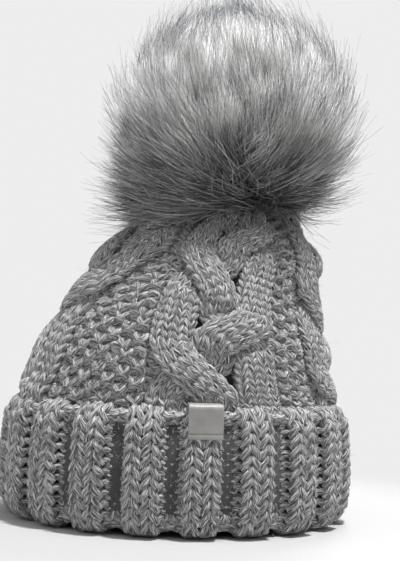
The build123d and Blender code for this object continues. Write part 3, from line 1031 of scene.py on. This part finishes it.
def make_label():
    """The label: one strip folded over the cuff's top edge."""
    low, high = box_mm("cuff_label")
    middle, width = (low[0] + high[0]) / 2, high[0] - low[0]
    front = -low[1] + OVAL_DIFFERENCE
    outside = front / math.sqrt(1 - (low[0] / front) ** 2) + 1.0
    inside = float(np.interp(LABEL_LEVEL, CUFF_LEVELS, CUFF_OVALS[:, 1])) - LABEL_BEHIND
    crest = high[2] + 0.1
    fold = crest - LABEL_BEND
    section = [(inside, crest - LABEL_INNER_LEAF), (inside, fold)]
    bends = ((165, 90, 6, inside + LABEL_BEND), (90, 0, 8, outside - LABEL_BEND))
    for first, last, count, centre in bends:
        for a in np.radians(np.linspace(first, last, count)):
            section.append((centre + LABEL_BEND * math.cos(a), fold + LABEL_BEND * math.sin(a)))
    section.append((outside, low[2]))
    wrap = OvalWrap(np.array(section))
    half = math.degrees(width / 2 / outside)
    centre = math.degrees(math.asin(middle / outside))
    angle = np.linspace(centre - half, centre + half, 40)[None]
    along = np.linspace(0, wrap.length, 110)[:, None]
    hang = (along / wrap.length - 0.35).clip(0)
    out = 0.35 * np.sin(np.radians((angle - centre) / half * 160)) * hang + 0 * along
    seam = -0.45 * np.exp(-((wrap.length - along - LABEL_SEAM) / 0.5) ** 2)
    point, _ = wrap.at(angle + 0 * along, along + 0 * angle, out + seam)
    label = thick_sheet("folded_label", point, LABEL_THICK, LABEL, False)
    thread = TubeBundle(6)
    bend_in = np.array([-0.35, 0.05, 0.3, 0.38, 0.38, 0.3, 0.05, -0.35])
    pitch = 2 * half / LABEL_STITCHES
    for n in range(LABEL_STITCHES):
        middle_angle = centre + pitch * (n + 0.5 - LABEL_STITCHES / 2)
        across = middle_angle + np.linspace(-0.36, 0.36, 8) * pitch
        thread.strand(*wrap.at(across, np.full(8, wrap.length - LABEL_SEAM), bend_in), 0.24)
    stitches = thread.make("label_thread", THREAD)
    return label, stitches, (width * MM, wrap.length * MM)


CARE_THICK = 0.35             # mm


def make_care_label():
    """The satin care label, hanging from the lining's top seam with a slight curl."""
    low, high = box_mm("care_label")
    rows, columns = 50, 30
    z = np.linspace(high[2], low[2], rows)[:, None]
    x = np.linspace(low[0], high[0], columns)[None]
    width, _, length = high - low
    drop, across = (high[2] - z) / length, (x - low[0]) / width
    curl = 0.5 * drop * np.cos(np.pi * across) ** 2 - 0.8 * np.sin(np.pi * drop)
    y = (low[1] + high[1]) / 2 - 0.2 + curl
    point = np.stack([x + 0 * z, y, z + 0 * x], axis=-1)
    return thick_sheet("care_label_strip", point, CARE_THICK, CARE, False), (width * MM, length * MM)


BACKING_WALL = 1.3            # mm
FILL_GAP = 3.0                # mm between the ball's outside and the fill
PLEATS, PLEAT_DEPTH = 14, 0.9


def make_core():
    """The drawn-up backing of the fur and the fibre fill inside it."""
    centre = np.array([(BAG_LOW[0] + BAG_HIGH[0]) / 2, 0.0, BAG_CENTRE[2]])
    neck = math.degrees(math.asin(NECK_RADIUS / BAG_RADIUS))
    angle = np.linspace(neck, 179.0, 60)[:, None]
    turn = full_turn(144)[None]
    pleat = PLEAT_DEPTH * np.cos(PLEATS * turn) * np.exp(-(angle - neck) / 22.0)
    skin = polar(centre, angle + 0 * turn, turn + 0 * angle, BAG_RADIUS - 0.6 + pleat)
    backing = thick_sheet("fur_backing_bag", skin[:, ::-1], BACKING_WALL, BACKING, True)
    rows, turns, radius = 40, 72, BAG_RADIUS - FILL_GAP
    bumps = rng.normal(0, 1, (rows, turns))
    for axis in (0, 1):
        bumps = (np.roll(bumps, 1, axis) + bumps + np.roll(bumps, -1, axis)) / 3
    bumps[:, -1] = bumps[:, 0]
    angle = np.linspace(4, 176, rows)[:, None]
    turn = full_turn(turns)[None]
    fill = polar(centre, angle + 0 * turn, turn + 0 * angle, radius + 0.6 * bumps)
    poles = centre + np.array([[0, 0, -radius], [0, 0, radius]])
    ring = np.arange(turns)
    ring2 = (ring + 1) % turns
    bottom, top, last = rows * turns, rows * turns + 1, (rows - 1) * turns
    caps = np.concatenate([
        np.stack([np.full(turns, bottom), ring2, ring], axis=-1),
        np.stack([np.full(turns, top), last + ring, last + ring2], axis=-1),
    ])
    verts = np.concatenate([fill[:, ::-1].reshape(-1, 3), poles])
    stuffing = new_object("fibre_fill_ball", verts, [grid_faces(rows, turns, True), caps], None, FILL)
    return backing, stuffing


# ---------------------------------------------------------------- the fur

FUR_LOW, FUR_HIGH = box_mm("pom_fur")
BAG_LOW, BAG_HIGH = box_mm("pom_backing")
POM_X = (FUR_LOW[0] + FUR_HIGH[0]) / 2
FUR_RADIUS = (FUR_HIGH[0] - FUR_LOW[0]) / 2
FUR_CENTRE = np.array([POM_X - 5.0, 0.0, FUR_HIGH[2] - FUR_RADIUS - 1.0])
BAG_RADIUS = (BAG_HIGH[0] - BAG_LOW[0]) / 2
LOBE_SIDE = math.radians(190.0)      # azimuth of the side where the pile hangs over the crown's shoulder
BAG_CENTRE = np.array([POM_X, 0.0, BAG_HIGH[2] - BAG_RADIUS])
NECK_RADIUS = 9.0             # mm


LOBE_LEVEL, LOBE_SPREAD = 52.0, 26.0     # degrees from the neck, where the hanging pile is longest
LOBE_GAIN = 0.24              # how much longer it is there
TUFT_SIZE = 6.0               # degrees, for tufts as many as TUFT_COUNT
TUFT_COUNT = 700
TUFT_LEAN = 0.32              # how much a tuft's lean differs from its neighbours', as a share
TUFT_TURN = math.radians(13.0)
LEAST_ROOT = 10.0             # degrees from the neck
FUR_CLEARANCE, FUR_MARGIN = 2.0, 2.5      # mm kept above the crown, and round each of its levels
PILES = (
    # name, material, pieces, hairs, tufts, reach, its spread, gather, width, taper, segments, curl, hanging
    ("underfur", UNDERFUR, 10, 42000, 480, 66.0, 0.06, 0.66, 0.24, 0.85, 5, 2.6, False),
    ("shoulder_fur", UNDERFUR, 1, 5500, 90, 66.0, 0.09, 0.50, 0.24, 0.85, 5, 2.6, True),
    ("guard_hair", GUARD, 4, 9000, TUFT_COUNT, 74.5, 0.08, 0.55, 0.14, 0.62, 7, 3.0, False),
)


def sweep(start):
    """How many degrees a hair rooted at polar angle start (0 at the neck) leans up round the ball."""
    return np.interp(start, [0, 12, 20, 32, 55, 90, 130, 160, 180], [30, 32, 38, 52, 62, 54, 32, 13, 2])


def lobe(polar_deg, azimuth):
    """How much longer the pile is on the side where it hangs over the crown's shoulder."""
    side = np.cos(azimuth - LOBE_SIDE)
    low = np.exp(-((polar_deg - LOBE_LEVEL) / LOBE_SPREAD) ** 2)
    return 1 + LOBE_GAIN * np.clip(side, 0, 1) ** 1.5 * low


def polar(centre, polar_deg, azimuth, radius):
    """Points at a polar angle from straight down, in degrees, and an azimuth, in radians."""
    p = np.radians(polar_deg)
    return centre + np.stack([
        radius * np.sin(p) * np.cos(azimuth),
        radius * np.sin(p) * np.sin(azimuth),
        -radius * np.cos(p),
    ], axis=-1)


def clumps(count, hanging):
    """Random tuft centres: polar angle, azimuth, leaning and tint of each."""
    if hanging:
        start = 11.0 + 20.0 * rng.random(count)
        azimuth = LOBE_SIDE + rng.normal(0, 0.75, count)
    else:
        start = np.degrees(np.arccos(1 - 2 * (0.012 + 0.988 * rng.random(count) ** 1.28)))
        azimuth = rng.random(count) * 2 * np.pi
    return start, azimuth, rng.normal(0, 1, (count, 3)), rng.random(count)


def hairs(count, tuft_count, reach, reach_spread, gather, width, taper, segments, curl, hanging):
    """Centre lines, radii and tints for count hairs in tufts.

    reach is the ball's radius at their tips, in mm, and gather is how far a tuft's tips draw together.
    """
    start, azimuth, push, tint = clumps(tuft_count, hanging)
    tuft = rng.integers(0, tuft_count, count)
    tuft_size = TUFT_SIZE * math.sqrt(TUFT_COUNT / tuft_count)
    root = np.abs(start[tuft] + rng.normal(0, tuft_size, count))
    root = np.maximum(np.where(root > 180, 360 - root, root), LEAST_ROOT)
    spread = np.radians(rng.normal(0, tuft_size, count))
    around = azimuth[tuft] + spread / np.maximum(np.sin(np.radians(root)), 0.25)
    t = np.linspace(0, 1, segments + 1)[None, :]
    own_end = root + sweep(root) * (1 + TUFT_LEAN * push[tuft, 0] + rng.normal(0, 0.14, count))
    tuft_end = start[tuft] + sweep(start[tuft]) * (1 + TUFT_LEAN * push[tuft, 0])
    end = own_end * (1 - gather) + tuft_end * gather
    around_end = around * (1 - gather) + azimuth[tuft] * gather + TUFT_TURN * push[tuft, 1]
    length = reach * (1 + reach_spread * (0.5 * push[tuft, 2] + 0.7 * rng.normal(0, 1, count)))
    length = length * lobe(end, around_end)
    ease = t ** 0.8
    polar_line = root[:, None] + (end - root)[:, None] * ease
    around_line = around[:, None] + (around_end - around)[:, None] * ease
    rise = t ** 0.72
    radius_line = (BAG_RADIUS - 0.5) + (length - BAG_RADIUS)[:, None] * rise
    centre = BAG_CENTRE + (FUR_CENTRE - BAG_CENTRE) * rise[..., None]
    line = polar(centre, polar_line, around_line, radius_line)
    bend = rng.normal(0, 1, (count, 1, 3)) * curl
    line = line + bend * (t ** 2)[..., None]
    thick = width * (0.7 + 0.6 * rng.random((count, 1))) * (1 - taper * t ** 1.6)
    # painted light and shade: hairs that end high round the ball get a lighter tint and low ones a darker
    # one; the tuft and hair terms add each one's own random tone
    height = smooth((end - 50.0) / 95.0)
    tone = 0.22 + 0.74 * height + 1.0 * (tint[tuft] - 0.5) + 0.5 * (rng.random(count) - 0.5)
    return line, thick, np.clip(tone, 0.02, 0.98)


def keep_off_crown(line):
    """Lifts hair points that would lie in the crown's shoulder up onto it."""
    x, y, z = line[..., 0], line[..., 1], line[..., 2]
    highest = np.full(x.shape, -1e3)
    for level in np.linspace(CROWN_LOW[2] + 2, CROWN_HIGH[2] - 0.5, 60):
        centre, side, front = crown_oval(level)
        inside = ((x - centre) / (side + FUR_MARGIN)) ** 2 + (y / (front + FUR_MARGIN)) ** 2 < 1
        highest = np.where(inside, level, highest)
    line[..., 2] = np.maximum(z, highest + FUR_CLEARANCE)
    return line


def make_hairs(name, material, sectors, *shape):
    """Makes hairs into pieces by the side of the ball they are on. shape is as for hairs()."""
    line, thick, tone = hairs(*shape)
    line = keep_off_crown(line)
    tip = line[:, -1] - FUR_CENTRE
    place = (np.arctan2(tip[:, 1], tip[:, 0]) / (2 * np.pi) % 1.0 * sectors).astype(int)
    made = []
    for sector in range(sectors):
        mine = place == sector
        bundle = TubeBundle(3)
        reference = unit(rng.normal(0, 1, (int(mine.sum()), 1, 3)) + np.array([0.3, 0.2, 0.1]))
        bundle.add(line[mine], np.broadcast_to(reference, line[mine].shape), thick[mine], tone=tone[mine])
        made.append(bundle.make(f"{name}_{sector + 1}", material))
    return made


def make_fur():
    return [piece for pile in PILES for piece in make_hairs(*pile)]


# ---------------------------------------------------------------- building the hat

def ride_as(obj, body, slot, *nodes):
    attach(obj, body)
    if nodes:
        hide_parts(*nodes)


def build_hat():
    crown = make_crown()
    cuff = make_cuff()
    band = make_band()
    crown_ground, cuff_ground, knit_length = make_grounds()
    for piece in crown + [crown_ground]:
        ride_as(piece, "knit_hat", "knit_yarn", "knit_crown")
    ride_as(make_fuzz(), "knit_hat", "knit_yarn")
    for piece in cuff + [cuff_ground]:
        ride_as(piece, "knit_hat", "knit_yarn", "turned_up_cuff")
    ride_as(band, "knit_hat", "knit_yarn", "rib_band")
    loop = yarn_ring("gather_yarn_loop", "gather_yarn", 2.0, YARN)
    ride_as(loop, "knit_hat", "knit_yarn", "gather_yarn")
    ride_as(make_seam(), "knit_hat", "knit_yarn", "crown_back_seam")
    ride_as(make_fleece(), "knit_hat", "fleece", "fleece_ear_band")
    ride_as(disc_sheet("felt_patch", "crown_patch", 1.8, 0.25, FELT), "knit_hat", "felt", "crown_patch")
    label, stitches, size = make_label()
    ride_as(stitches, "knit_hat", "sewing_thread", "label_stitches")
    ride_as(label, "knit_hat", "label_leather", "cuff_label")
    care, size = make_care_label()
    ride_as(care, "care_label", "care_satin", "care_label")


def build_pom():
    for piece in make_fur():
        ride_as(piece, "pom", "fur_pile", "pom_fur")
    backing, stuffing = make_core()
    ride_as(backing, "pom", "fur_backing", "pom_backing")
    ride_as(stuffing, "pom", "fibre_fill", "pom_stuffing")
    draw_cord = yarn_ring("neck_draw_cord", "pom_draw_cord", 1.2, CORD, 8)
    ride_as(draw_cord, "pom", "draw_cord", "pom_draw_cord")
    ride_as(disc_sheet("felt_collar", "pom_collar", 7.5, 0.3, FELT), "pom", "felt", "pom_collar")
    ride_as(disc_sheet("fabric_web", "pom_web", 1.6, 0.1, FELT), "snap_mount", "felt", "pom_web")


NODE_PAINT = {
    "ear_band_stitches": THREAD, "patch_stitches": THREAD,
    "stud_cap": SNAP, "snap_stud": SNAP, "snap_socket": SNAP, "socket_rivet": SNAP, "snap_spring": WIRE,
}


def paint_nodes():
    for name, material in NODE_PAINT.items():
        obj = NODES[name]
        obj.data.materials.clear()
        obj.data.materials.append(material)


# ---------------------------------------------------------------- stage, light and camera

BACKGROUND = 0.85             # the pale studio's brightness
FLOOR_TONE = 0.50
FLOOR_SIZE, FLOOR_LEVEL = 30e3, -0.3  # mm
FADE_START, FADE_END = 0.15, 0.28     # metres from the middle, where the floor fades into the background


def make_stage():
    """A pale floor whose far part is as bright as the studio behind it, so that they run together."""
    turn = full_turn(64)
    level = np.full(len(turn), FLOOR_LEVEL)
    verts = np.stack([FLOOR_SIZE * np.cos(turn), FLOOR_SIZE * np.sin(turn), level], axis=-1)
    floor = new_object("floor", verts, np.arange(len(turn))[None, :], smooth_faces=False)
    paint = Paint("floor", 0.9, Specular_IOR_Level=0.0)
    paint.shader.inputs["Base Color"].default_value = (*grey(FLOOR_TONE), 1.0)
    reach = paint.node("ShaderNodeVectorMath", operation="LENGTH")
    paint.link(paint.place(), reach.inputs[0])
    share = paint.node("ShaderNodeMapRange")
    paint.link(reach.outputs["Value"], share.inputs["Value"])
    share.inputs["From Min"].default_value = FADE_START
    share.inputs["From Max"].default_value = FADE_END
    share.interpolation_type = "SMOOTHSTEP"
    glow = paint.node("ShaderNodeEmission", Color=(*grey(BACKGROUND), 1.0))
    both = paint.tree.nodes.new("ShaderNodeMixShader")
    paint.link(share.outputs[0], both.inputs[0])
    paint.link(paint.shader.outputs[0], both.inputs[1])
    paint.link(glow.outputs[0], both.inputs[2])
    paint.link(both.outputs[0], paint.tree.nodes["Material Output"].inputs["Surface"])
    floor.data.materials.append(paint.material)


AIM = Vector((0.0, 0.0, 0.12))
LIGHTS = {                    # place in metres, size in metres, power in watts
    "key": ((0.30, -0.26, 1.5), 0.14, 29.0),
    "side": ((-1.1, -0.5, 0.8), 0.5, 1.6),
    "back": ((0.3, 0.9, 1.2), 0.5, 9.0),
}


def area_light(name, place, size, power):
    data = bpy.data.lights.new(name, "AREA")
    data.shape = "DISK"
    data.size = size
    data.energy = power
    obj = bpy.data.objects.new(name, data)
    obj.location = place
    obj.rotation_euler = (AIM - Vector(place)).to_track_quat("-Z", "Y").to_euler()
    bpy.context.scene.collection.objects.link(obj)


def make_light():
    """The world shows the camera a plain pale grey, and lights the hat mostly from above."""
    world = bpy.data.worlds.new("studio")
    bpy.context.scene.world = world
    world.use_nodes = True
    nodes, links = world.node_tree.nodes, world.node_tree.links
    seen = nodes["Background"]
    seen.inputs["Color"].default_value = (*grey(BACKGROUND), 1.0)
    lit = nodes.new("ShaderNodeBackground")
    direction = nodes.new("ShaderNodeTexCoord")
    parts = nodes.new("ShaderNodeSeparateXYZ")
    height = nodes.new("ShaderNodeMapRange")
    links.new(direction.outputs["Generated"], parts.inputs[0])
    links.new(parts.outputs[2], height.inputs["Value"])
    for socket, value in (("From Min", -0.2), ("From Max", 0.9), ("To Min", 0.10), ("To Max", 0.80)):
        height.inputs[socket].default_value = value
    links.new(height.outputs[0], lit.inputs["Strength"])
    path = nodes.new("ShaderNodeLightPath")
    both = nodes.new("ShaderNodeMixShader")
    links.new(path.outputs["Is Camera Ray"], both.inputs[0])
    links.new(lit.outputs[0], both.inputs[1])
    links.new(seen.outputs[0], both.inputs[2])
    links.new(both.outputs[0], nodes["World Output"].inputs["Surface"])
    for name, values in LIGHTS.items():
        area_light(name, *values)


CAMERA_PLACE = (0.0122, -0.70, 0.109)
CAMERA_PITCH = 2.454          # degrees up from level
CAMERA_ROLL = -2.0            # degrees: the hat leans a little in the frame
SENSOR, LENS = 36.0, 74.866   # mm


def make_camera():
    data = bpy.data.cameras.new("camera")
    data.sensor_width = SENSOR
    data.lens = LENS
    data.clip_start = 0.01
    obj = bpy.data.objects.new("camera", data)
    obj.location = CAMERA_PLACE
    obj.rotation_euler = (math.radians(90.0 + CAMERA_PITCH), math.radians(CAMERA_ROLL), 0.0)
    bpy.context.scene.collection.objects.link(obj)
    bpy.context.scene.camera = obj


bpy.context.scene.view_settings.view_transform = "Standard"
make_camera()
make_light()
make_stage()
paint_nodes()
build_hat()
build_pom()
